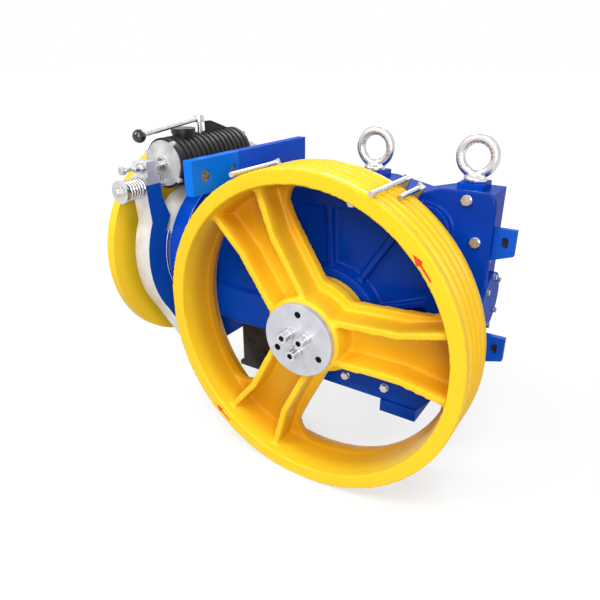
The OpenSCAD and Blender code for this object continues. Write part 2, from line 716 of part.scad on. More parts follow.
module brake_bar() color("dodgerblue") difference() {
  union() {
    slab_x(-bar_x - bar_t, -bar_x) translate([0, bar_z + seat_gap + bar_h / 2])
      square([bar_len, bar_h], center = true);
    translate([-bar_x - 40, -54, bar_z + seat_gap]) cube([78, 108, 12]);
  }
  for (y = pin_holes)
    rod_x(y[1] + seat_gap, -bar_x - bar_t - 1, -bar_x + 1, y = y[0], z = bar_z + bar_h * 0.5, fn = 32);
}

module bar_pins() color("gray") for (y = pin_holes)
  rod_x(y[1], -bar_x - bar_t, -bar_x - 3, y = y[0], z = bar_z + bar_h * 0.5, fn = 32);

// ---------------------------------------------------------------- magnet

module magnet_saddle() color("dimgray") difference() {
  union() {
    translate([20 - magnet_x, -70, bar_z + 20]) cube([magnet_x - bar_x - bar_t - 20 - seat_gap, 140, 12]);
    translate([-bar_x - bar_t - 12 - seat_gap, -70, bar_z + 14]) cube([12, 140, 44]);
  }
  rod_y(magnet_d / 2 + seat_gap, -100, 120, x = -magnet_x, z = magnet_z);
}

module magnet_body() color("dimgray") difference() {
  union() {
    rod_y(magnet_d / 2 - 4, mag_cover_t - mag_half, mag_half - mag_cover_t, x = -magnet_x, z = magnet_z);
    for (i = [0 : fins - 1]) rod_y(magnet_d / 2, fin_y(i), fin_y(i) + 7, x = -magnet_x, z = magnet_z);
    translate([0, 0, magnet_z + magnet_d / 2]) slab_x(-magnet_x - 4, 4 - magnet_x)
      polygon([[20, -8], [20, 20], [34, 20], [94, -2], [94, -8]]);
  }
  rod_y(plunger_r + run_gap, -mag_half, mag_half, x = -magnet_x, z = magnet_z);
  translate([-magnet_x, 0, magnet_z]) cylinder(r = release_r + run_gap, h = magnet_d);
  translate([-magnet_x, 0, magnet_z]) cube([2 * plunger_r, 24, 2 * plunger_r], center = true);
}

module magnet_cover() difference() {
  union() {
    translate([0, 0, seat_gap]) cylinder(d = magnet_d, h = mag_cover_t - seat_gap);
    translate([0, 0, mag_cover_t - 1]) cylinder(d = 44, h = 3);
    for (a = [20, 140, 260]) rotate(a) translate([magnet_d / 2 - 3, 0, 0.1]) cylinder(d = 14, h = mag_cover_t - 2);
  }
  translate([0, 0, -1]) cylinder(r = plunger_r + run_gap, h = mag_cover_t + 10);
}

module magnet_covers() color("lightgray") difference() {
  for (a = [0, 180]) translate([-magnet_x, 0, magnet_z]) rotate([90, 0, a])
    translate([0, 0, mag_half - mag_cover_t]) magnet_cover();
  for (m = [0, 1]) mirror([0, m, 0])
    rod_y(rod_d / 2 + seat_gap, -stud_in_y, -magnet_len, x = -stud_x, z = rod_z, fn = 32);
}

module terminal_cap() color("black") translate([-magnet_x, -50, magnet_z]) {
  difference() {
    cylinder(d = 46, h = magnet_d / 2 + 6);
    rotate([90, 0, 0]) cylinder(d = magnet_d + 2 * seat_gap, h = 99, center = true);
  }
  translate([0, 0, magnet_d / 2 + 3]) cylinder(d = 50, h = 10);
}

module plunger(s) rod_y(plunger_r, s * 14, s * plunger_tip, x = -magnet_x, z = magnet_z);
module front_plunger() color("silver") plunger(-1);
module rear_plunger() color("silver") plunger(1);

// shaft with a flat cam between the plungers
module release_shaft() color("silver") translate([-magnet_x, 0, magnet_z]) {
  translate([0, 0, -8]) cylinder(r = release_r, h = magnet_d / 2 + 34);
  cube([16, 20, 12], center = true);
}

module along_lever() translate([-magnet_x, 0, lever_z + 7]) rotate([96, 0, 0]) children();

module release_lever() color("silver") difference() {
  union() {
    translate([-magnet_x, 0, lever_z]) cylinder(d = 22, h = 14);
    along_lever() cylinder(r = lever_r, h = lever_len);
  }
  translate([-magnet_x, 0, lever_z - 1]) cylinder(r = release_r + seat_gap, h = 11);
}

module lever_knob() color("black") along_lever() difference() {
  translate([0, 0, lever_len + 9]) sphere(d = 26);
  cylinder(r = lever_r + seat_gap, h = lever_len + seat_gap);
}

// ---------------------------------------------------------------- drum and flywheel

module brake_drum() color("silver") difference() {
  union() {
    difference() {
      rod_x(drum_r, -drum_left, -drum_x, z = worm_z, fn = 128);
      rod_x(drum_r - 18, -drum_left - 1, -drum_x - 22, z = worm_z, fn = 96);
      rod_x(drum_r - 18, -drum_x - 8, 1 - drum_x, z = worm_z, fn = 96);
    }
    rod_x(drum_seat_r + 16, -drum_left, -drum_x, z = worm_z);
  }
  rod_x(drum_seat_r + seat_gap, -drum_left - 1, 1 - drum_x, z = worm_z);
  translate([0, 0, worm_z]) drum_key_box(seat_gap);
}

module flywheel() color("gold") difference() {
  union() {
    difference() {
      rod_x(fly_d / 2, -fly_left, -fly_x, z = worm_z, fn = 128);
      rod_x(fly_d / 2 - 26, -fly_left - 1, 6 - fly_left, z = worm_z, fn = 128);
    }
    rod_x(drum_seat_r + 18, -fly_left - 4, -drum_left - seat_gap, z = worm_z);
  }
  rod_x(drum_seat_r + seat_gap, -fly_left - 5, 1 - drum_left, z = worm_z);
  translate([0, 0, worm_z]) drum_key_box(seat_gap);
}

module shaft_nut() color("silver")
  translate([-fly_left - 4 - seat_gap, 0, worm_z]) rotate([0, -90, 0]) difference() {
  union() {
    cylinder(d = 52, h = 4);
    translate([0, 0, 3]) cylinder(d = 42, h = 16, $fn = 6);
  }
  translate([0, 0, -1]) cylinder(r = thread_r + seat_gap, h = 30);
}

// ---------------------------------------------------------------- brake arms

// outline of the front arm in Y and Z
module arm2d() difference() {
  polygon(concat(
    [[-pivot_y - 30, pivot_z - 6]],
    arc([0, worm_z], arm_out_r, 218, 154, 12),
    [[-172, arm_top - 46], [-174, arm_top]],
    [[-136, arm_top], [-134, arm_top - 44]],
    arc([0, worm_z], arm_in_r - 4, 145, 221, 6),
    [[-pivot_y + 26, pivot_z + 14]],
    arc([-pivot_y, pivot_z], 30, 28, -168, 12)));
  translate([0, worm_z]) circle(r = arm_in_r, $fn = 128);
  translate([-pivot_y, pivot_z]) circle(r = pin_d / 2 + run_gap);
}

module rear_side() mirror([0, 1, 0]) children();

module arm() difference() {
  union() {
    slab_x(-arm_x - arm_w, -arm_x) arm2d();
    translate([-arm_x - arm_w, -lug_out_y, arm_top - 1]) cube([arm_w, lug_t, magnet_z + 12 - arm_top]);
  }
  rod_y(rod_d / 2 + 1.5, -arm_out_r, -stud_in_y, x = -stud_x, z = rod_z, fn = 32);
  rod_y(bolt_r + run_gap, -arm_out_r, -stud_in_y, x = -magnet_x, z = magnet_z, fn = 32);
  rod_y(trim_r + run_gap, -arm_out_r, -stud_in_y, x = -trim_x, z = trim_z, fn = 32);
}

// part of a ring round the worm axis, towards the front
module sector2d(r_in, r_out, half) intersection() {
  translate([0, worm_z]) difference() {
    circle(r = r_out, $fn = 128);
    circle(r = r_in, $fn = 128);
  }
  translate([0, worm_z]) polygon(concat([[0, 0]], arc([0, 0], 2 * r_out, 180 - half, 180 + half, 4)));
}

module shoe() slab_x(4 - drum_left, -drum_x - 4) sector2d(shoe_r + seat_gap, arm_in_r - seat_gap, 24);
// six pads in a row, with a narrow slot between them
module lining() slab_x(6 - drum_left, -drum_x - 6) for (i = [0 : pads - 1])
  translate([0, worm_z]) rotate((i - (pads - 1) / 2) * pad_step) translate([0, -worm_z])
    sector2d(lining_r, shoe_r, (pad_step - pad_slot) / 2);

module adjuster() {
  rod_y(bolt_r, -lug_out_y - bolt_out, -plunger_tip - tip_gap, x = -magnet_x, z = magnet_z, fn = 32);
  for (y = [-lug_in_y + seat_gap, -lug_out_y - nut_t - seat_gap]) translate([-magnet_x, y, magnet_z])
    along_y() cylinder(d = 22, h = nut_t, $fn = 6);
}

module trim_screw() {
  rod_y(trim_r, -lug_out_y - trim_out - 1, -lug_in_y + 3, x = -trim_x, z = trim_z, fn = 32);
  rod_y(2 * trim_r, -lug_out_y - trim_out - trim_head, -lug_out_y - trim_out, x = -trim_x, z = trim_z, fn = 32);
}

module front_arm() color("lightgray") arm();
module rear_arm() color("lightgray") rear_side() arm();
module front_shoe() color("blue") shoe();
module rear_shoe() color("blue") rear_side() shoe();
module front_lining() color("dimgray") lining();
module rear_lining() color("dimgray") rear_side() lining();
module front_adjuster() color("silver") adjuster();
module rear_adjuster() color("silver") rear_side() adjuster();
module front_trim_screw() color("silver") trim_screw();
module rear_trim_screw() color("silver") rear_side() trim_screw();

module spring_studs() color("silver") for (m = [0, 1]) mirror([0, m, 0])
  rod_y(rod_d / 2, -rod_end, -stud_in_y - seat_gap, x = -stud_x, z = rod_z, fn = 32);

// coil swept along a helix that runs along -Y from y0
module coil(y0, len, turns) {
  steps = 14 * turns;
  n = 8;
  cr = (spring_d - wire_d) / 2;
  pts = [for (i = [0 : steps], j = [0 : n - 1])
    let (a = 360 * turns * i / steps, b = 360 * j / n, r = cr + wire_d / 2 * cos(b))
    [-stud_x + r * cos(a), y0 - len * i / steps + wire_d / 2 * sin(b), rod_z + r * sin(a)]];
  faces = concat(
    [[for (j = [0 : n - 1]) n - 1 - j]],
    [for (i = [0 : steps - 1], j = [0 : n - 1]) let (k = (j + 1) % n)
      [i * n + j, i * n + k, (i + 1) * n + k, (i + 1) * n + j]],
    [[for (j = [0 : n - 1]) steps * n + j]]);
  polyhedron(pts, faces, convexity = 8);
}

module spring() coil(-spring_seat_y - wire_d / 2, cap_y - spring_seat_y - wire_d - 0.6, 6);
module front_spring() color("silver") spring();
module rear_spring() color("silver") rear_side() spring();

module spring_caps() color("silver") for (m = [0, 1]) mirror([0, m, 0]) translate([-stud_x, -cap_y, rod_z])
  rotate([90, 0, 0]) difference() {
    union() {
      cylinder(d = spring_d + 4, h = 6);
      translate([0, 0, 5]) cylinder(d = 24, h = 9, $fn = 6);
      translate([0, 0, -6]) cylinder(d = spring_d - 2 * wire_d - 1, h = 7);
    }
    translate([0, 0, -8]) cylinder(d = rod_d + 2 * seat_gap, h = 30);
  }

// ---------------------------------------------------------------- rope guards

// rods just outside the rim, each on a small plate screwed to the front cover
module rope_guards() color("silver") for (g = guards) to_sheave() rotate(g[0]) {
  translate([rim_r + 6, 0, plate_front_y + seat_gap]) cylinder(d = 9, h = g[1] - plate_front_y, $fn = 24);
  translate([g[2], -7, plate_front_y + seat_gap]) cube([rim_r + 12 - g[2], 14, 6.5]);
}

gear_case();
front_cover();
rear_cover();
cover_screws();
rear_screws();
brake_housing();
housing_flange();
worm_end_cover();
end_cover_screws();
base_bracket();
side_lugs();
eyebolts();
breather();
sight_glass();
drain_plug();
shaft_seal();
main_bearing_rings();
worm_bearing_rings();
rope_guards();
brake_bar();
bar_pins();
magnet_saddle();
magnet_body();
magnet_covers();
terminal_cap();
pivot_pins();
spring_studs();
front_spring();
rear_spring();
spring_caps();
traction_sheave();
main_shaft();
sheave_key();
hub_plate();
hub_screws();
wheel_hub();
worm_wheel();
wheel_key();
main_bearing_balls();
worm_shaft();
worm_bearing_balls();
brake_drum();
drum_key();
flywheel();
shaft_nut();
front_arm();
front_shoe();
front_lining();
front_adjuster();
front_trim_screw();
rear_arm();
rear_shoe();
rear_lining();
rear_adjuster();
rear_trim_screw();
front_plunger();
rear_plunger();
release_shaft();
release_lever();
lever_knob();
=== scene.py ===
import math
import bpy
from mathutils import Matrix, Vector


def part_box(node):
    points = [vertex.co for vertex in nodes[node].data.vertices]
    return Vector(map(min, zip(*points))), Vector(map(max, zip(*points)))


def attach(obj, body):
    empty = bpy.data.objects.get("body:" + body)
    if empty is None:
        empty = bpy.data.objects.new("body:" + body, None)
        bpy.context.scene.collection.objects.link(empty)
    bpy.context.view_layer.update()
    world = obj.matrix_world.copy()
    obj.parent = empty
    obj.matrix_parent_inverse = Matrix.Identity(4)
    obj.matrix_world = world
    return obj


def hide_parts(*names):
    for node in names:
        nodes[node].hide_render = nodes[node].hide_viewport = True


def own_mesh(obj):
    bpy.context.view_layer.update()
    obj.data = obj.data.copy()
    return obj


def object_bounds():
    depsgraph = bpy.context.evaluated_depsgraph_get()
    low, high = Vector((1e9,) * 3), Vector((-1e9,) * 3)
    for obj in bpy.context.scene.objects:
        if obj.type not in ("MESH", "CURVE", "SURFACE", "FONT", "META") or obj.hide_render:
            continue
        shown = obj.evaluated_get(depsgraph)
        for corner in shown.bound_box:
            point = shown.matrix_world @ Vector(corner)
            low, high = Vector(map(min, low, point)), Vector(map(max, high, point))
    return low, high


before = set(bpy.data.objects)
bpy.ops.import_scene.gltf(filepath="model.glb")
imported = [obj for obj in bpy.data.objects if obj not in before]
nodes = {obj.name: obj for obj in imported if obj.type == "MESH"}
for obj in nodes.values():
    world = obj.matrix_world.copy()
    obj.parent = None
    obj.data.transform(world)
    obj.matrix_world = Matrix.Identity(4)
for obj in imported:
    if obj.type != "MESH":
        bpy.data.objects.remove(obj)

cad_box = [list(corner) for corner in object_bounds()]
scene = bpy.context.scene
scene.view_settings.view_transform = "Standard"


# ---- Camera, floor and studio light ----
# A camera a metre in front and to the right, a white floor under the feet, a soft key lamp from
# the upper left and weaker ones from the right, above and behind. Floor and world only look white.
bpy.ops.object.select_all(action="DESELECT")
bpy.ops.object.camera_add(location=(0.476857, -0.922267, 0.654101),
                          rotation=(math.radians(66.1516), 0.0, math.radians(32.8408)))
camera = bpy.context.object
camera.data.lens = 33.6
camera.data.sensor_width = 36.0
camera.data.clip_start = 0.01
camera.data.clip_end = 200.0
scene.camera = camera


def lamp(name, place, aim, size, watts, tint):
    """A square soft lamp at place, shining at aim."""
    bpy.ops.object.light_add(type="AREA", location=place)
    light = bpy.context.object
    light.name = name
    light.data.size = size
    light.data.energy = watts
    light.data.color = tint
    turn = (aim[0] - place[0], aim[1] - place[1], aim[2] - place[2])
    flat = math.hypot(turn[0], turn[1])
    light.rotation_euler = (math.atan2(flat, -turn[2]), 0.0, math.atan2(turn[1], turn[0]) - math.pi / 2)


lamp("key_lamp", (-1.15, -1.75, 2.1), (0.0, 0.0, 0.2), 1.3, 35.0, (1.0, 0.985, 0.965))
lamp("side_lamp", (1.45, -2.1, 0.95), (-0.15, 0.0, 0.2), 1.0, 33.0, (1.0, 0.99, 0.97))
lamp("high_lamp", (0.6, -1.3, 2.0), (-0.4, 0.0, 0.35), 0.7, 15.0, (1.0, 1.0, 0.98))
lamp("back_lamp", (-0.6, 2.2, 1.9), (0.0, 0.0, 0.2), 1.2, 25.0, (1.0, 1.0, 1.0))


def seen_rays(tree):
    """1 for the rays that show the background: camera, glossy and transmission rays."""
    path = tree.nodes.new("ShaderNodeLightPath")
    total = path.outputs["Is Camera Ray"]
    for ray in ("Is Glossy Ray", "Is Transmission Ray"):
        more = tree.nodes.new("ShaderNodeMath")
        more.operation = "MAXIMUM"
        tree.links.new(total, more.inputs[0])
        tree.links.new(path.outputs[ray], more.inputs[1])
        total = more.outputs[0]
    return total


studio = bpy.data.worlds.new("studio")
scene.world = studio
studio.use_nodes = True
room = studio.node_tree
lit = room.nodes["Background"]
lit.inputs["Color"].default_value = (1.0, 1.0, 1.0, 1.0)
lit.inputs["Strength"].default_value = 0.5
white = room.nodes.new("ShaderNodeBackground")
white.inputs["Color"].default_value = (1.0, 1.0, 1.0, 1.0)
white.inputs["Strength"].default_value = 1.0
choose = room.nodes.new("ShaderNodeMixShader")
room.links.new(seen_rays(room), choose.inputs[0])
room.links.new(lit.outputs[0], choose.inputs[1])
room.links.new(white.outputs[0], choose.inputs[2])
room.links.new(choose.outputs[0], room.nodes["World Output"].inputs["Surface"])

bpy.ops.mesh.primitive_plane_add(size=60.0, location=(0.0, 0.0, cad_box[0][2] - 0.0004))
floor = bpy.context.object
floor.name = "studio_floor"
bpy.ops.object.transform_apply(location=True, rotation=True, scale=True)
floor_paint = bpy.data.materials.new("studio_white")
floor_paint.use_nodes = True
ground = floor_paint.node_tree
matt = ground.nodes["Principled BSDF"]
matt.inputs["Base Color"].default_value = (0.9, 0.9, 0.9, 1.0)
matt.inputs["Roughness"].default_value = 0.9
matt.inputs["Specular IOR Level"].default_value = 0.1
glow = ground.nodes.new("ShaderNodeEmission")
glow.inputs["Color"].default_value = (1.0, 1.0, 1.0, 1.0)
bright = ground.nodes.new("ShaderNodeMath")
bright.operation = "MULTIPLY"
bright.inputs[1].default_value = 1.1
ground.links.new(seen_rays(ground), bright.inputs[0])
ground.links.new(bright.outputs[0], glow.inputs["Strength"])
away = ground.nodes.new("ShaderNodeVectorMath")
away.operation = "LENGTH"
ground.links.new(ground.nodes.new("ShaderNodeTexCoord").outputs["Object"], away.inputs[0])
share = ground.nodes.new("ShaderNodeMapRange")
share.inputs["From Min"].default_value = 0.5
share.inputs["From Max"].default_value = 1.3
share.inputs["To Min"].default_value = 0.52
ground.links.new(away.outputs["Value"], share.inputs["Value"])
part_glow = ground.nodes.new("ShaderNodeMixShader")
ground.links.new(share.outputs["Result"], part_glow.inputs[0])
ground.links.new(matt.outputs[0], part_glow.inputs[1])
ground.links.new(glow.outputs[0], part_glow.inputs[2])
ground.links.new(part_glow.outputs[0], ground.nodes["Material Output"].inputs["Surface"])
floor.data.materials.append(floor_paint)


# ---- Gear case ----
# The box casting that carries everything: grey iron, sand cast, machined on its faces and
# sprayed with blue machine enamel. Its edges are rounded by the foundry.
def start_finish(name):
    """A new material, its node tree, its shader, and the object coordinates that it is painted by."""
    finish = bpy.data.materials.new(name)
    finish.use_nodes = True
    tree = finish.node_tree
    place = tree.nodes.new("ShaderNodeTexCoord").outputs["Object"]
    return finish, tree, tree.nodes["Principled BSDF"], place


def speckle(tree, place, cells, detail=3.0, stretch=None):
    """Noise with that many cells to the metre."""
    if stretch:
        pull = tree.nodes.new("ShaderNodeMapping")
        pull.inputs["Scale"].default_value = stretch
        tree.links.new(place, pull.inputs["Vector"])
        place = pull.outputs["Vector"]
    grain = tree.nodes.new("ShaderNodeTexNoise")
    grain.inputs["Scale"].default_value = cells
    grain.inputs["Detail"].default_value = detail
    tree.links.new(place, grain.inputs["Vector"])
    return grain.outputs["Fac"]


def ramp(tree, value, low, high, start=0.35, end=0.65):
    """A colour that goes from low to high as value goes from start to end."""
    band = tree.nodes.new("ShaderNodeValToRGB")
    band.color_ramp.elements[0].position = start
    band.color_ramp.elements[0].color = (*low, 1.0)
    band.color_ramp.elements[1].position = end
    band.color_ramp.elements[1].color = (*high, 1.0)
    tree.links.new(value, band.inputs["Fac"])
    return band.outputs["Color"]


def grey_ramp(tree, value, low, high, start=0.35, end=0.65):
    """A number that goes from low to high as value goes from start to end."""
    return ramp(tree, value, (low,) * 3, (high,) * 3, start, end)


def blended(tree, share, first, second):
    """first where share is 0 and second where it is 1; second may be a plain colour."""
    mix = tree.nodes.new("ShaderNodeMix")
    mix.data_type = "RGBA"
    if isinstance(share, float):
        mix.inputs["Factor"].default_value = share
    else:
        tree.links.new(share, mix.inputs["Factor"])
    for colour, socket in ((first, mix.inputs[6]), (second, mix.inputs[7])):
        if isinstance(colour, tuple):
            socket.default_value = (*colour, 1.0)
        else:
            tree.links.new(colour, socket)
    return mix.outputs[2]


def mottle(tree, shader, place, cells, detail, low, high, start=0.35, end=0.65):
    """A base colour that drifts from low to high in patches, that many cells to the metre."""
    tree.links.new(ramp(tree, speckle(tree, place, cells, detail), low, high, start, end),
                   shader.inputs["Base Color"])


def roughen(tree, shader, place, cells, detail, low, high):
    """A roughness that drifts from low to high in patches, that many cells to the metre."""
    tree.links.new(grey_ramp(tree, speckle(tree, place, cells, detail), low, high), shader.inputs["Roughness"])


def centred(tree, place, centre):
    """The coordinates, counted from centre."""
    put = tree.nodes.new("ShaderNodeMapping")
    put.inputs["Location"].default_value = tuple(-c for c in centre)
    tree.links.new(place, put.inputs["Vector"])
    return put.outputs["Vector"]


def dent(tree, shader, height, depth):
    """A bump of that depth in metres, on top of those that the shader already has."""
    bump = tree.nodes.new("ShaderNodeBump")
    bump.inputs["Strength"].default_value = 1.0
    bump.inputs["Distance"].default_value = depth
    tree.links.new(height, bump.inputs["Height"])
    before = shader.inputs["Normal"]
    if before.is_linked:
        tree.links.new(before.links[0].from_socket, bump.inputs["Normal"])
    tree.links.new(bump.outputs["Normal"], before)


def case_enamel(name, colour, shade, gloss=0.3, grain=0.00012):
    """Sprayed enamel on a casting: a drifting tone, dust specks, orange peel over sand-cast grain."""
    finish, tree, shader, place = start_finish(name)
    drift = ramp(tree, speckle(tree, place, 7.0, 3.0), shade, colour, 0.3, 0.6)
    specks = grey_ramp(tree, speckle(tree, place, 900.0, 2.0), 0.0, 0.14, 0.6, 0.7)
    tree.links.new(blended(tree, specks, drift, tuple(0.5 * c for c in shade)), shader.inputs["Base Color"])
    roughen(tree, shader, place, 28.0, 5.0, gloss - 0.05, gloss + 0.1)
    shader.inputs["Specular IOR Level"].default_value = 0.0
    shader.inputs["Coat Weight"].default_value = 0.22
    shader.inputs["Coat Roughness"].default_value = 0.2
    dent(tree, shader, speckle(tree, place, 210.0, 3.0), grain)
    dent(tree, shader, speckle(tree, place, 1100.0, 1.0), 0.00002)
    return finish


def hold(piece):
    """Only this piece is selected and active."""
    bpy.ops.object.select_all(action="DESELECT")
    piece.select_set(True)
    bpy.context.view_layer.objects.active = piece


def apply_step(piece, kind, **settings):
    """One modifier with these settings, applied."""
    hold(piece)
    step = piece.modifiers.new(kind.lower(), kind)
    for key, value in settings.items():
        setattr(step, key, value)
    bpy.ops.object.modifier_apply(modifier=step.name)


def casting_copy(node, name, cut_height=None):
    """A closed copy of the CAD node's mesh, its loose triangles merged and its flat faces joined."""
    piece = bpy.data.objects.new(name, nodes[node].data.copy())
    scene.collection.objects.link(piece)
    hold(piece)
    bpy.ops.object.mode_set(mode="EDIT")
    bpy.ops.mesh.select_all(action="SELECT")
    bpy.ops.mesh.remove_doubles(threshold=0.00002)
    bpy.ops.mesh.dissolve_limited(angle_limit=math.radians(0.3))
    if cut_height:
        bpy.ops.mesh.select_all(action="SELECT")
        bpy.ops.mesh.bisect(plane_co=(0.0, 0.0, cut_height), plane_no=(0.0, 0.0, 1.0))
    bpy.ops.object.mode_set(mode="OBJECT")
    return piece


def round_edges(piece, radius, steps=2, angle=32.0, edge_slot=-1):
    """Rounds the sharp edges of a piece; edge_slot is the material place of the rounded strips."""
    while len(piece.data.materials) <= edge_slot:
        piece.data.materials.append(None)
    apply_step(piece, "BEVEL", width=radius, segments=steps, limit_method="ANGLE",
               angle_limit=math.radians(angle), use_clamp_overlap=True, material=edge_slot)
    hold(piece)
    bpy.ops.object.shade_smooth_by_angle(angle=math.radians(38.0))
    apply_step(piece, "WEIGHTED_NORMAL", keep_sharp=True, weight=60)
    return piece


def rounded(node, name, radius, steps=2, angle=32.0, edge_slot=-1):
    """A copy of the node whose sharp edges are rounded by that radius in metres."""
    return round_edges(casting_copy(node, name), radius, steps, angle, edge_slot)


def sand_cast(node, name, cell, passes, most=150000):
    """A copy of the node with the soft fillets of a sand casting, from cells of that size in metres."""
    piece = casting_copy(node, name)
    apply_step(piece, "REMESH", mode="VOXEL", voxel_size=cell, use_smooth_shade=True)
    apply_step(piece, "SMOOTH", factor=0.5, iterations=passes)
    faces = 2 * len(piece.data.polygons)
    if faces > most:
        apply_step(piece, "DECIMATE", ratio=most / faces)
    hold(piece)
    bpy.ops.object.shade_smooth()
    return piece


def fit(piece, body, slot, finish, *stands_for, edge=None):
    """Gives the piece its finish and lets it ride on its body in place of these CAD nodes; slot is not used.
    """
    places = [face.material_index for face in piece.data.polygons]
    piece.data.materials.clear()
    piece.data.materials.append(finish)
    if edge:
        piece.data.materials.append(edge)
        piece.data.polygons.foreach_set("material_index", places)
    if stands_for:
        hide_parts(*stands_for)
    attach(piece, body)


def dress(node, finish):
    """The CAD node keeps its shape and gets this finish."""
    for place in nodes[node].material_slots:
        place.material = finish


case_blue = case_enamel("case_blue_enamel", (0.001, 0.062, 0.50), (0.001, 0.045, 0.42))
fit(rounded("gear_case", "gear_case_casting", 0.0025), "machine_frame", "case_blue", case_blue, "gear_case")


# ---- Front cover ----
# The ribbed cover over the gear, one iron casting with pockets between its ribs, the boss ring
# round the slow shaft and a flange for its screws, in the case's blue enamel painted darker, as painted shade.
cover_blue = case_enamel("cover_blue_painted_shade", (0.001, 0.040, 0.36), (0.001, 0.028, 0.28))
fit(sand_cast("front_cover", "front_cover_casting", 0.0024, 3), "machine_frame", "cover_blue", cover_blue,
    "front_cover")


# ---- Rear cover, side lugs and worm end cover ----
# The rear bearing cover, the two slotted lugs at the side and the round cover over the worm's
# far bearing. All are iron, painted blue with the case and rounded at their edges; the lugs are painted a
# lighter blue, as painted light.
fit(rounded("rear_cover", "rear_cover_casting", 0.002), "machine_frame", "case_blue", case_blue, "rear_cover")
# Painted light: a lighter copy of the case blue, on the lugs and on the arms' painted sides.
lit_lug_blue = case_enamel("lug_blue_painted_light", (0.006, 0.085, 0.52), (0.004, 0.066, 0.45))
fit(rounded("side_lugs", "side_lug_castings", 0.0018), "machine_frame", "case_blue", lit_lug_blue, "side_lugs")
fit(rounded("worm_end_cover", "worm_end_cover_casting", 0.002), "machine_frame", "case_blue", case_blue,
    "worm_end_cover")


# ---- Cover screws ----
# Zinc plated hexagon screws with washers round the covers. The plating is silvery with a faint
# yellow tint and small dull patches.
def zinc_plate(name, colour=(0.60, 0.61, 0.62), gloss=0.3):
    """Bright zinc plating: silvery metal with a mottled gloss and fine wrench scratches."""
    finish, tree, shader, place = start_finish(name)
    mottle(tree, shader, place, 120.0, 4.0, tuple(0.84 * c for c in colour), colour)
    shader.inputs["Metallic"].default_value = 1.0
    roughen(tree, shader, place, 260.0, 4.0, gloss - 0.06, gloss + 0.08)
    dent(tree, shader, speckle(tree, place, 300.0, 2.0, (1.0, 1.0, 5.0)), 0.000004)
    return finish


zinc = zinc_plate("zinc_plating")
for node in ("cover_screws", "rear_screws", "end_cover_screws"):
    fit(rounded(node, node + "_plated", 0.0006), "machine_frame", "zinc_steel", zinc, node)
fit(rounded("drain_plug", "drain_plug_plated", 0.0006), "machine_frame", "zinc_steel", zinc, "drain_plug")
fit(rounded("breather", "breather_plated", 0.0006), "machine_frame", "zinc_steel", zinc, "breather")


# ---- Lifting eyes ----
# Two forged lifting eyes screwed into square bosses on top of the case. The forging is tumbled
# and plated, brighter than the screws, with a slightly rough skin.
forged = zinc_plate("forged_bright_steel", (0.70, 0.70, 0.70), 0.3)
fit(sand_cast("eyebolts", "lifting_eyes_forged", 0.0012, 5), "machine_frame", "zinc_steel", forged, "eyebolts")


# ---- Sight glass ----
# A domed oil glass in a screwed ring at the side of the case: clear glass, lightly green from
# the oil behind it.
def oil_glass(name):
    """Clear glass over oil, with faint streaks."""
    finish, tree, shader, place = start_finish(name)
    mottle(tree, shader, place, 90.0, 3.0, (0.55, 0.42, 0.12), (0.78, 0.72, 0.42))
    shader.inputs["Roughness"].default_value = 0.06
    shader.inputs["Transmission Weight"].default_value = 0.45
    shader.inputs["Coat Weight"].default_value = 0.6
    dent(tree, shader, speckle(tree, place, 160.0, 2.0), 0.0001)
    return finish


fit(rounded("sight_glass", "sight_glass_lens", 0.0008), "machine_frame", "sight_glass",
    oil_glass("oil_sight_glass"), "sight_glass")


# ---- Brake housing, flange and bar ----
# The housing round the worm shaft with its step, the round flange behind the drum, and the wide
# bar over the housing that carries the brake magnet. Iron and steel in blue enamel.
fit(rounded("brake_housing", "brake_housing_casting", 0.004, 3), "machine_frame", "case_blue", case_blue,
    "brake_housing")


def paint_edge_highlight(name):
    """A painted highlight for rounded edges: a pale, half-metallic strip in blue and grey patches."""
    finish, tree, shader, place = start_finish(name)
    mottle(tree, shader, place, 260.0, 4.0, (0.30, 0.42, 0.66), (0.78, 0.81, 0.86), 0.3, 0.5)
    shader.inputs["Metallic"].default_value = 0.4
    roughen(tree, shader, place, 200.0, 3.0, 0.25, 0.4)
    dent(tree, shader, speckle(tree, place, 500.0, 2.0), 0.00003)
    return finish


edge_highlight = paint_edge_highlight("enamel_edge_painted_highlight")
# The flange's rounded edges take the painted highlight.
fit(rounded("housing_flange", "housing_flange_casting", 0.0013, 2, 32.0, 1), "machine_frame", "case_blue",
    case_blue, "housing_flange", edge=edge_highlight)


def paint_light_split(finish, split_y, colour):
    """On the side of the split with the lower Y the enamel is painted in this lighter colour, as painted
    light.
    """
    tree = finish.node_tree
    split = tree.nodes.new("ShaderNodeSeparateXYZ")
    tree.links.new(tree.nodes.new("ShaderNodeTexCoord").outputs["Object"], split.inputs["Vector"])
    side = tree.nodes.new("ShaderNodeMath")
    side.operation = "LESS_THAN"
    side.inputs[1].default_value = split_y
    tree.links.new(split.outputs["Y"], side.inputs[0])
    base = tree.nodes["Principled BSDF"].inputs["Base Color"]
    tree.links.new(blended(tree, side.outputs[0], base.links[0].from_socket, colour), base)


# Painted light: the bar's blue is lighter than the case's, and lighter still on its front end.
lit_bar_blue = case_enamel("bar_blue_painted_light", (0.002, 0.088, 0.62), (0.002, 0.070, 0.55))
light_split_y = -0.055
paint_light_split(lit_bar_blue, light_split_y, (0.004, 0.175, 0.80))
fit(rounded("brake_bar", "brake_bar_plate", 0.0025), "machine_frame", "case_blue", lit_bar_blue, "brake_bar")


def pin_steel(name):
    """Dull oiled steel with brown grey stains."""
    finish, tree, shader, place = start_finish(name)
    mottle(tree, shader, place, 150.0, 5.0, (0.16, 0.12, 0.09), (0.42, 0.36, 0.31))
    shader.inputs["Metallic"].default_value = 0.75
    roughen(tree, shader, place, 300.0, 3.0, 0.3, 0.55)
    dent(tree, shader, speckle(tree, place, 700.0, 2.0), 0.00003)
    return finish


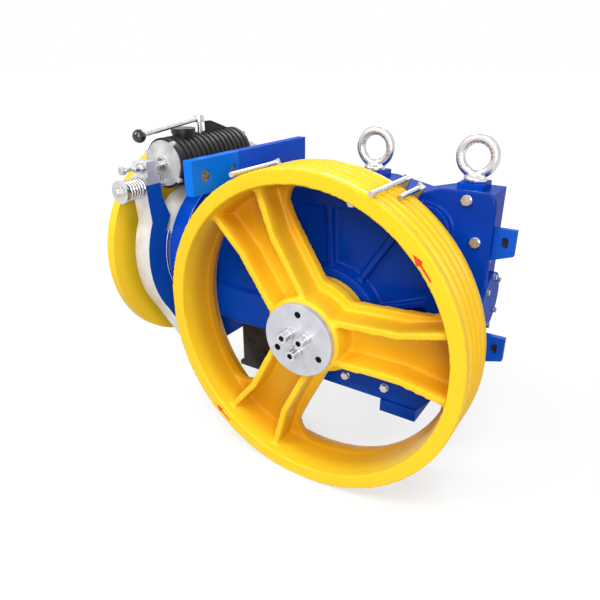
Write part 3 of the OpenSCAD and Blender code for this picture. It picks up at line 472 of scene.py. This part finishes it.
oiled_steel = pin_steel("oiled_pin_steel")
fit(rounded("bar_pins", "bar_pins_turned", 0.0008), "machine_frame", "machined_steel", oiled_steel, "bar_pins")
fit(rounded("pivot_pins", "pivot_pins_turned", 0.0008), "machine_frame", "machined_steel", oiled_steel,
    "pivot_pins")


# ---- Base bracket ----
# The channel bracket under the brake housing: folded steel plate, sprayed semi-gloss black.
def black_enamel(name, gloss=0.34):
    """Black enamel with dust and a fine spray texture."""
    finish, tree, shader, place = start_finish(name)
    tone = ramp(tree, speckle(tree, place, 40.0, 5.0), (0.007, 0.007, 0.008), (0.022, 0.022, 0.024))
    dust = grey_ramp(tree, speckle(tree, place, 500.0, 3.0), 0.0, 0.35, 0.58, 0.75)
    tree.links.new(blended(tree, dust, tone, (0.06, 0.06, 0.06)), shader.inputs["Base Color"])
    roughen(tree, shader, place, 70.0, 4.0, gloss - 0.08, gloss + 0.14)
    shader.inputs["Specular IOR Level"].default_value = 0.3
    dent(tree, shader, speckle(tree, place, 420.0, 3.0), 0.00008)
    return finish


black_paint = black_enamel("black_machine_enamel")
fit(rounded("base_bracket", "base_bracket_folded", 0.002), "machine_frame", "black_steel", black_paint,
    "base_bracket")


# ---- Shade discs in the side lugs ----
# Black discs set into the slots of the two side lugs from behind: a dark thing put in as painted shade
# in the deep slots. Each is a dished oblong cap.
def turned_disc(radius, thick, middle, sides):
    """A disc that faces along Y, its middle at that place."""
    bpy.ops.object.select_all(action="DESELECT")
    bpy.ops.mesh.primitive_cylinder_add(vertices=sides, radius=radius, depth=thick, location=middle,
                                        rotation=(math.pi / 2, 0.0, 0.0))
    bpy.ops.object.transform_apply(location=True, rotation=True, scale=True)
    return bpy.context.object


def step_face(disc, front, rings):
    """Insets the disc's face at that side in steps: each ring is (how far in, how far out along Y)."""
    hold(disc)
    bpy.ops.object.mode_set(mode="EDIT")
    bpy.ops.mesh.select_all(action="DESELECT")
    bpy.ops.object.mode_set(mode="OBJECT")
    for face in disc.data.polygons:
        face.select = face.normal.y * front > 0.9
    bpy.ops.object.mode_set(mode="EDIT")
    bpy.ops.mesh.select_mode(type="FACE")
    for inward, rise in rings:
        bpy.ops.mesh.inset(thickness=inward)
        bpy.ops.transform.translate(value=(0.0, front * rise, 0.0))
    bpy.ops.object.mode_set(mode="OBJECT")


# Painted shade: this black fills the lug slots, the jacking holes and the screw sockets.
shade_black = black_enamel("hole_painted_shade_black", 0.5)
lug_slots = ((0.292, 0.381), (0.300, 0.196))
shade_disc_radius, shade_disc_reach, shade_disc_thick = 0.00495, 0.004, 0.003
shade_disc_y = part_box("side_lugs")[1][1] - 0.0025
slot_shade_discs = []
for slot_x, slot_z in lug_slots:
    plug = turned_disc(shade_disc_radius, shade_disc_thick, (slot_x, shade_disc_y, slot_z), 48)
    for point in plug.data.vertices:
        if abs(point.co.z - slot_z) > 0.00001:
            point.co.z += math.copysign(shade_disc_reach, point.co.z - slot_z)
    step_face(plug, -1.0, ((0.0009, -0.0012),))
    slot_shade_discs.append(round_edges(plug, 0.0003))


def joined(name, parts):
    """These parts as one piece under that name."""
    bpy.ops.object.select_all(action="DESELECT")
    for part in parts:
        part.select_set(True)
    bpy.context.view_layer.objects.active = parts[0]
    bpy.ops.object.join()
    parts[0].name = name
    return parts[0]


fit(joined("side_lug_slot_shade", slot_shade_discs), "machine_frame", "black_steel", shade_black)


# ---- Bearings, seal and keys inside ----
# The ring and ball sets of both shafts, the rubber lip seal behind the sheave and the fitted
# keys. The rings are ground and polished, the keys are bright drawn steel.
def ground_steel(name, colour, gloss, cells=900.0):
    """Ground or drawn steel with fine marks."""
    finish, tree, shader, place = start_finish(name)
    mottle(tree, shader, place, 80.0, 4.0, tuple(0.8 * c for c in colour), colour)
    shader.inputs["Metallic"].default_value = 1.0
    roughen(tree, shader, place, 240.0, 3.0, gloss - 0.05, gloss + 0.1)
    dent(tree, shader, speckle(tree, place, 0.4 * cells, 2.0), 0.000004)
    return finish


polished = ground_steel("bearing_steel_ground", (0.72, 0.73, 0.75), 0.16)
drawn = ground_steel("drawn_key_steel", (0.55, 0.55, 0.56), 0.3)
for node in ("main_bearing_rings", "worm_bearing_rings", "main_bearing_balls", "worm_bearing_balls"):
    dress(node, polished)
for node in ("sheave_key", "wheel_key", "drum_key"):
    dress(node, drawn)


def seal_rubber(name):
    """Black nitrile rubber, matt, with a fine mould grain."""
    finish, tree, shader, place = start_finish(name)
    mottle(tree, shader, place, 200.0, 4.0, (0.010, 0.010, 0.011), (0.03, 0.03, 0.032))
    roughen(tree, shader, place, 90.0, 3.0, 0.55, 0.75)
    dent(tree, shader, speckle(tree, place, 1300.0, 2.0), 0.0001)
    return finish


dress("shaft_seal", seal_rubber("seal_rubber_black"))


# ---- Worm pair ----
# The bronze wheel rim on its iron hub and the hardened steel worm, both wet with oil.
def cast_bronze(name):
    """Centrifugally cast bronze: warm, with darker patches and oil gloss."""
    finish, tree, shader, place = start_finish(name)
    mottle(tree, shader, place, 60.0, 5.0, (0.42, 0.20, 0.06), (0.74, 0.45, 0.16))
    shader.inputs["Metallic"].default_value = 1.0
    roughen(tree, shader, place, 180.0, 3.0, 0.22, 0.42)
    shader.inputs["Coat Weight"].default_value = 0.3
    dent(tree, shader, speckle(tree, place, 500.0, 3.0), 0.00015)
    return finish


hard_steel = ground_steel("case_hardened_steel", (0.50, 0.50, 0.52), 0.22)
dress("worm_wheel", cast_bronze("wheel_bronze"))
dress("worm_shaft", hard_steel)
dress("main_shaft", hard_steel)


def turned_iron(name, colour, centre, turn, gloss=0.36, pitch=900.0, metal=0.85):
    """Turned iron or steel, with tool marks as rings round the shaft axis through centre."""
    finish, tree, shader, place = start_finish(name)
    rings = tree.nodes.new("ShaderNodeTexWave")
    rings.wave_type = "RINGS"
    rings.rings_direction = turn
    rings.inputs["Scale"].default_value = pitch / 20.0
    rings.inputs["Distortion"].default_value = 0.3
    tree.links.new(centred(tree, place, centre), rings.inputs["Vector"])
    mottled = ramp(tree, speckle(tree, place, 45.0, 5.0), tuple(0.88 * c for c in colour), colour)
    lines = grey_ramp(tree, rings.outputs["Fac"], 0.0, 0.14, 0.2, 0.9)
    tree.links.new(blended(tree, lines, mottled, tuple(0.6 * c for c in colour)), shader.inputs["Base Color"])
    shader.inputs["Metallic"].default_value = metal
    roughen(tree, shader, place, 160.0, 4.0, gloss - 0.07, gloss + 0.12)
    dent(tree, shader, rings.outputs["Fac"], 0.00001)
    return finish


sheave_centre = (0.0, 0.0, 0.19)
dress("wheel_hub", turned_iron("hub_grey_iron", (0.33, 0.33, 0.34), sheave_centre, "Y"))


# ---- Rope sheave ----
# The grooved traction sheave: one grey iron casting with three channel spokes, sprayed yellow.
# The recesses are painted more orange, as painted shade, and the rim face is turned smooth.
def yellow_enamel_recess_shade(name, centre, turn, depth, reach, most,
                  thin=((0.93, 0.585, 0.020), (0.96, 0.62, 0.024))):
    """Yellow enamel with painted shade: more orange in the recesses. The spans are (from, to, share there,
    share here):

    depth along the axis, reach and most outward from it; together they give thick, the share of painted shade.
    thin holds the two yellows where no painted shade lies.
    """
    finish, tree, shader, place = start_finish(name)
    split = tree.nodes.new("ShaderNodeSeparateXYZ")
    tree.links.new(centred(tree, place, centre), split.inputs["Vector"])
    flat = tree.nodes.new("ShaderNodeCombineXYZ")
    for axis in "XYZ":
        if axis != turn:
            tree.links.new(split.outputs[axis], flat.inputs[axis])
    far = tree.nodes.new("ShaderNodeVectorMath")
    far.operation = "LENGTH"
    tree.links.new(flat.outputs["Vector"], far.inputs[0])
    along, outward = split.outputs[turn], far.outputs["Value"]
    # thick is the share of painted shade, the orange laid into the recesses.
    thick = None
    for value, span in ((along, depth), (outward, reach), (outward, most)):
        part = tree.nodes.new("ShaderNodeMapRange")
        part.interpolation_type = "SMOOTHSTEP"
        part.inputs["From Min"].default_value = span[0]
        part.inputs["From Max"].default_value = span[1]
        part.inputs["To Min"].default_value = span[2]
        part.inputs["To Max"].default_value = span[3]
        tree.links.new(value, part.inputs["Value"])
        if thick is None:
            thick = part.outputs["Result"]
        else:
            both = tree.nodes.new("ShaderNodeMath")
            both.operation = "MULTIPLY"
            tree.links.new(thick, both.inputs[0])
            tree.links.new(part.outputs["Result"], both.inputs[1])
            thick = both.outputs[0]
    yellow = ramp(tree, speckle(tree, place, 8.0, 4.0), thin[0], thin[1], 0.3, 0.6)
    # Painted shade: where thick is high the yellow turns orange.
    tone = blended(tree, thick, yellow, (0.60, 0.238, 0.004))
    specks = grey_ramp(tree, speckle(tree, place, 700.0, 2.0), 0.0, 0.16, 0.62, 0.7)
    tree.links.new(blended(tree, specks, tone, (0.6, 0.3, 0.01)), shader.inputs["Base Color"])
    roughen(tree, shader, place, 30.0, 4.0, 0.3, 0.44)
    shader.inputs["Specular IOR Level"].default_value = 0.1
    shader.inputs["Coat Weight"].default_value = 0.15
    shader.inputs["Coat Roughness"].default_value = 0.15
    dent(tree, shader, speckle(tree, place, 190.0, 3.0), 0.00016)
    dent(tree, shader, speckle(tree, place, 1000.0, 1.0), 0.00002)
    return finish


sheave_yellow = yellow_enamel_recess_shade("sheave_yellow_recess_shade", sheave_centre, "Y", depth=(-0.182, -0.15, 0.0, 1.0),
                              reach=(0.08, 0.25, 0.2, 0.8), most=(0.264, 0.275, 1.0, 0.2))
fit(sand_cast("traction_sheave", "traction_sheave_casting", 0.003, 3, 180000), "sheave_rotor", "sheave_yellow",
    sheave_yellow, "traction_sheave")


# ---- Turning marks on the rim ----
# Two plain red arrows on the rim's front face that show a direction of turning: thin enamel,
# brushed on by stencil over the yellow.
def stencil_red(name):
    """Thin red enamel with brush streaks."""
    finish, tree, shader, place = start_finish(name)
    mottle(tree, shader, place, 240.0, 4.0, (0.60, 0.035, 0.008), (0.80, 0.06, 0.01))
    roughen(tree, shader, place, 120.0, 3.0, 0.35, 0.5)
    dent(tree, shader, speckle(tree, place, 900.0, 2.0), 0.00002)
    return finish


rim_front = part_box("traction_sheave")[0][1]
mark_places = ((35.0, 45.0, 0.2805), (-125.6, -134.4, 0.2885))
shaft_half, head_half, head_start, head_long = 0.0017, 0.0062, 0.62, 0.36
marks = []
for tail, tip, middle in mark_places:
    bpy.ops.object.select_all(action="DESELECT")
    bpy.ops.mesh.primitive_grid_add(x_subdivisions=14, y_subdivisions=2, size=1.0, location=(0.0, 0.0, 0.0))
    mark = bpy.context.object
    for point in mark.data.vertices:
        along = point.co.x + 0.5
        half = shaft_half if along < head_start else head_half * (1.0 - along) / head_long
        turn = math.radians(tail + (tip - tail) * along)
        out = middle + 2.0 * point.co.y * half
        point.co = (out * math.cos(turn), rim_front + 0.0002, sheave_centre[2] + out * math.sin(turn))
    hold(mark)
    bpy.ops.object.mode_set(mode="EDIT")
    bpy.ops.mesh.select_all(action="SELECT")
    bpy.ops.mesh.remove_doubles(threshold=0.00002)
    bpy.ops.mesh.normals_make_consistent(inside=False)
    bpy.ops.object.mode_set(mode="OBJECT")
    apply_step(mark, "SOLIDIFY", thickness=0.0006, offset=0.0)
    marks.append(mark)
fit(joined("rim_turning_marks", marks), "sheave_rotor", "sheave_yellow", stencil_red("turning_mark_red"))


# ---- Sheave end plate and its screws ----
# The turned steel plate that holds the sheave on its shaft, with three jacking holes and three
# long socket screws on washers. The holes and sockets are painted black, as painted shade.
plate_steel = turned_iron("end_plate_turned_steel", (0.60, 0.61, 0.67), sheave_centre, "Y", 0.36, 1100.0, 0.35)


def paint_hole_shade(piece, mouth, holes, wide):
    """The faces inside round holes along Y, below their mouth, take the second material place, for black
    painted shade.
    """
    piece.data.materials.append(None)
    for face in piece.data.polygons:
        for x, z in holes:
            if math.hypot(face.center.x - x, face.center.z - z) < wide and face.center.y > mouth + 0.0002:
                face.material_index = 1


def round_the_shaft(lean, out):
    """The X and Z of a place round the sheave's axis."""
    return out * math.cos(math.radians(lean)), sheave_centre[2] + out * math.sin(math.radians(lean))


end_plate = casting_copy("hub_plate", "sheave_end_plate")
plate_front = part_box("hub_plate")[0][1]
hole_places = [round_the_shaft(lean, 0.05) for lean in (90.0, 210.0, 330.0)]
paint_hole_shade(end_plate, plate_front, hole_places, 0.0062)
fit(round_edges(end_plate, 0.0008), "sheave_rotor", "machined_steel", plate_steel, "hub_plate", edge=shade_black)
end_screws = casting_copy("hub_screws", "sheave_socket_screws")
screw_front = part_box("hub_screws")[0][1]
screw_places = [round_the_shaft(lean, 0.02) for lean in (30.0, 150.0, 270.0)]
paint_hole_shade(end_screws, screw_front, screw_places, 0.0059)
# Painted shade: the socket faces down to this depth stay black, deeper faces keep the screw's finish.
socket_depth = 0.0075
for face in end_screws.data.polygons:
    if face.center.y > screw_front + socket_depth:
        face.material_index = 0
fit(round_edges(end_screws, 0.0005), "sheave_rotor", "zinc_steel", forged, "hub_screws", edge=shade_black)


# ---- Rope guards ----
# Three round rods that keep the ropes in their grooves: bright drawn steel, held in small plates
# on the case.
guard_steel = ground_steel("guard_bright_steel", (0.70, 0.70, 0.70), 0.26)
fit(rounded("rope_guards", "rope_guard_rods", 0.0006), "machine_frame", "machined_steel", guard_steel,
    "rope_guards")


# ---- Brake drum and flywheel ----
# The grey iron drum on the worm shaft, turned where the linings run and painted near white as painted light,
# and the yellow flywheel outside it with its nut, in a lighter yellow than the sheave's, also painted light.
worm_axis = (0.0, 0.0, 0.26)
# Painted light: a near-white, non-metallic base colour makes the drum read lit in its shaded place.
drum_iron = turned_iron("drum_iron_painted_light", (0.92, 0.92, 0.90), worm_axis, "X", 0.4, 900.0, 0.0)
fit(rounded("brake_drum", "brake_drum_turned", 0.0015), "worm_rotor", "drum_iron", drum_iron, "brake_drum")
# Painted light: the flywheel's yellows are lighter than the sheave's; the depth span adds a little painted
# shade on its inner face.
flywheel_lit_yellow = yellow_enamel_recess_shade("flywheel_yellow_light_and_shade", worm_axis, "X", depth=(-0.44, -0.425, 0.0, 0.1),
                             reach=(0.12, 0.2, 1.0, 0.5), most=(0.2, 0.21, 1.0, 0.6),
                             thin=((0.96, 0.62, 0.022), (0.99, 0.655, 0.027)))
fit(rounded("flywheel", "flywheel_casting", 0.002), "worm_rotor", "sheave_yellow", flywheel_lit_yellow, "flywheel")
fit(rounded("shaft_nut", "shaft_nut_plated", 0.0008), "worm_rotor", "zinc_steel", zinc, "shaft_nut")


# ---- Brake magnet ----
# The lifting magnet on its saddle: a black finned body between two light grey cast covers, a
# black terminal cap, and the steel plungers that push the arms.
def cover_grey(name):
    """Light grey paint on die cast aluminium, with a soft skin and small pits."""
    finish, tree, shader, place = start_finish(name)
    tone = ramp(tree, speckle(tree, place, 50.0, 5.0), (0.50, 0.505, 0.51), (0.66, 0.665, 0.67))
    pits = grey_ramp(tree, speckle(tree, place, 800.0, 2.0), 0.0, 0.5, 0.64, 0.72)
    tree.links.new(blended(tree, pits, tone, (0.25, 0.25, 0.26)), shader.inputs["Base Color"])
    shader.inputs["Metallic"].default_value = 0.25
    roughen(tree, shader, place, 90.0, 4.0, 0.34, 0.5)
    dent(tree, shader, speckle(tree, place, 350.0, 3.0), 0.0002)
    return finish


magnet_grey = cover_grey("magnet_cover_grey")
magnet_x, magnet_z = -0.372, 0.45
cover_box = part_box("magnet_covers")
cover_radius, ear_radius, housing_radius = 0.0452, 0.0058, 0.0498
ear_leans, ear_out = (56.0, 158.0, -39.0), 0.0468
covers = []
housings = []
for front, outer in ((-1.0, cover_box[0][1]), (1.0, cover_box[1][1])):
    disc = turned_disc(cover_radius, 0.006, (magnet_x, outer - front * 0.0042, magnet_z), 64)
    step_face(disc, front, ((0.003, 0.0), (0.001, -0.0008), (0.016, 0.0004), (0.008, 0.0006),
                            (0.0012, 0.001), (0.0008, -0.0002)))
    covers.append(round_edges(disc, 0.0007))
    for lean in ear_leans:
        ear_x = magnet_x + ear_out * math.cos(math.radians(lean))
        ear_z = magnet_z + ear_out * math.sin(math.radians(lean))
        ear = turned_disc(ear_radius, 0.0085, (ear_x, outer - front * 0.0055, ear_z), 24)
        step_face(ear, front, ((0.0016, 0.0), (0.0003, -0.0012), (0.0006, 0.0), (0.0003, 0.0022),
                               (0.0006, 0.0002)))
        covers.append(round_edges(ear, 0.0004))
    ring = turned_disc(housing_radius, 0.0105, (magnet_x, outer - front * 0.0105, magnet_z), 64)
    step_face(ring, front, ((0.0015, 0.0), (0.0006, 0.0008)))
    housings.append(round_edges(ring, 0.0012))
fit(joined("magnet_cover_castings", covers), "machine_frame", "magnet_grey", magnet_grey, "magnet_covers")
magnet_black = black_enamel("magnet_body_black", 0.46)
fit(joined("magnet_end_housings", housings), "machine_frame", "black_steel", magnet_black)
barrel = casting_copy("magnet_body", "magnet_body_finned")
groove_low, groove_high, fin_root = 0.0455, 0.0468, 0.0478
for point in barrel.data.vertices:
    out = math.hypot(point.co.x - magnet_x, point.co.z - magnet_z)
    if groove_low < out < groove_high:
        point.co.x = magnet_x + (point.co.x - magnet_x) * fin_root / out
        point.co.z = magnet_z + (point.co.z - magnet_z) * fin_root / out
fit(round_edges(barrel, 0.0006), "machine_frame", "black_steel", magnet_black, "magnet_body")
fit(rounded("magnet_saddle", "magnet_saddle_plate", 0.0015), "machine_frame", "black_steel", black_paint,
    "magnet_saddle")
fit(rounded("terminal_cap", "terminal_cap_moulded", 0.0015), "machine_frame", "black_steel",
    black_enamel("terminal_cap_black", 0.26), "terminal_cap")
plunger_steel = ground_steel("plunger_ground_steel", (0.66, 0.66, 0.67), 0.2)
for side in ("front", "rear"):
    fit(rounded(side + "_plunger", side + "_plunger_ground", 0.0008), side + "_magnet_plunger",
        "machined_steel", plunger_steel, side + "_plunger")


# ---- Hand release ----
# The upright release shaft with its cam in the magnet, the bright lever on it and the black
# ball knob.
fit(rounded("release_shaft", "release_shaft_turned", 0.0006), "release_gear", "machined_steel", plunger_steel,
    "release_shaft")
lever = casting_copy("release_lever", "release_lever_bright")
lever_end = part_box("release_lever")[0][1]
lever_root, lever_fall, lever_swell = 0.08, 1.15, 0.9
for point in lever.data.vertices:
    along = point.co.y / lever_end
    if along > lever_root:
        swelling = math.sin(math.pi * min(1.0, lever_fall * along))
        point.co.x = magnet_x + (point.co.x - magnet_x) * (1.0 + lever_swell * swelling)
fit(round_edges(lever, 0.0006), "release_gear", "machined_steel", forged, "release_lever")


def ball_black(name):
    """Moulded black phenolic, very glossy, with faint swirls and finger marks."""
    finish, tree, shader, place = start_finish(name)
    mottle(tree, shader, place, 60.0, 4.0, (0.004, 0.004, 0.005), (0.014, 0.013, 0.013))
    roughen(tree, shader, place, 140.0, 3.0, 0.08, 0.2)
    shader.inputs["Coat Weight"].default_value = 0.5
    dent(tree, shader, speckle(tree, place, 90.0, 2.0), 0.00008)
    return finish


fit(rounded("lever_knob", "lever_ball_knob", 0.0003), "release_gear", "knob_black",
    ball_black("knob_phenolic_black"), "lever_knob")


# ---- Brake arms, shoes and linings ----
# Each curved arm is an aluminium casting, polished on its outer face and top block and painted
# blue on its sides. It carries a blue iron shoe with a grey woven lining.
def polished_arm(name):
    """Polished cast aluminium with a brushed grain along the arm and small dull spots."""
    finish, tree, shader, place = start_finish(name)
    mottle(tree, shader, place, 50.0, 5.0, (0.68, 0.68, 0.70), (0.78, 0.78, 0.80))
    shader.inputs["Metallic"].default_value = 0.55
    roughen(tree, shader, place, 90.0, 4.0, 0.34, 0.46)
    dent(tree, shader, speckle(tree, place, 200.0, 2.0, (6.0, 1.0, 1.0)), 0.000006)
    return finish


def woven_lining(name):
    """Grey friction lining with short brass and dark fibres pressed in."""
    finish, tree, shader, place = start_finish(name)
    tone = ramp(tree, speckle(tree, place, 300.0, 5.0), (0.13, 0.125, 0.12), (0.34, 0.33, 0.31))
    brass = grey_ramp(tree, speckle(tree, place, 900.0, 2.0, (1.0, 0.3, 1.0)), 0.0, 0.7, 0.62, 0.7)
    tree.links.new(blended(tree, brass, tone, (0.5, 0.36, 0.12)), shader.inputs["Base Color"])
    shader.inputs["Roughness"].default_value = 0.8
    dent(tree, shader, speckle(tree, place, 700.0, 4.0), 0.0003)
    return finish


arm_silver = polished_arm("arm_polished_aluminium")
lining_grey = woven_lining("lining_woven_grey")
block_bottom = 0.417
for side, body in (("front", "front_brake_arm"), ("rear", "rear_brake_arm")):
    arm = casting_copy(side + "_arm", side + "_arm_casting", block_bottom)
    arm.data.materials.append(None)
    for face in arm.data.polygons:
        outward = math.copysign(1.0, face.center.y) * face.normal.y
        painted = abs(face.normal.x) > 0.6 or outward < -0.2
        face.material_index = 1 if painted and face.center.z < block_bottom else 0
    round_edges(arm, 0.0022, 3)
    # The arms' painted sides take the lighter lug blue, which carries painted light.
    fit(arm, body, "arm_silver", arm_silver, side + "_arm", edge=lit_lug_blue)
    # The shoe's rounded edges take the painted highlight.
    fit(rounded(side + "_shoe", side + "_shoe_casting", 0.001, 2, 32.0, 1), body, "case_blue", case_blue,
        side + "_shoe", edge=edge_highlight)
    fit(rounded(side + "_lining", side + "_lining_pressed", 0.0005), body, "lining_grey", lining_grey,
        side + "_lining")
    fit(rounded(side + "_adjuster", side + "_adjuster_plated", 0.0006), body, "zinc_steel", zinc,
        side + "_adjuster")
    fit(rounded(side + "_trim_screw", side + "_trim_screw_plated", 0.0005), body, "zinc_steel", zinc,
        side + "_trim_screw")


# ---- Brake springs ----
# A coil spring, its stud and its cap on each side. The spring is shot-peened wire, oiled and
# bright on its crests, and the cap is plated. The arm presses the spring against its cap.
spring_wire = ground_steel("spring_wire_bright", (0.66, 0.66, 0.67), 0.26, 1500.0)
for side, front in (("front", -1.0), ("rear", 1.0)):
    coil = casting_copy(side + "_spring", side + "_spring_coil")
    hold(coil)
    bpy.ops.object.shade_smooth_by_angle(angle=math.radians(50.0))
    fit(coil, "machine_frame", "spring_steel", spring_wire, side + "_spring")
    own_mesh(coil)
fit(rounded("spring_studs", "spring_studs_threaded", 0.0005), "machine_frame", "zinc_steel", zinc,
    "spring_studs")
caps = casting_copy("spring_caps", "spring_caps_plated")
cap_low, cap_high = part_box("spring_caps")
cone_height, cone_share = 0.003, 0.68
cap_x, cap_z = 0.5 * (cap_low[0] + cap_high[0]), 0.5 * (cap_low[2] + cap_high[2])
for point in caps.data.vertices:
    if abs(point.co.y) > cap_high[1] - cone_height:
        point.co.x = cap_x + cone_share * (point.co.x - cap_x)
        point.co.z = cap_z + cone_share * (point.co.z - cap_z)
fit(round_edges(caps, 0.0012, 3), "machine_frame", "zinc_steel", forged, "spring_caps")
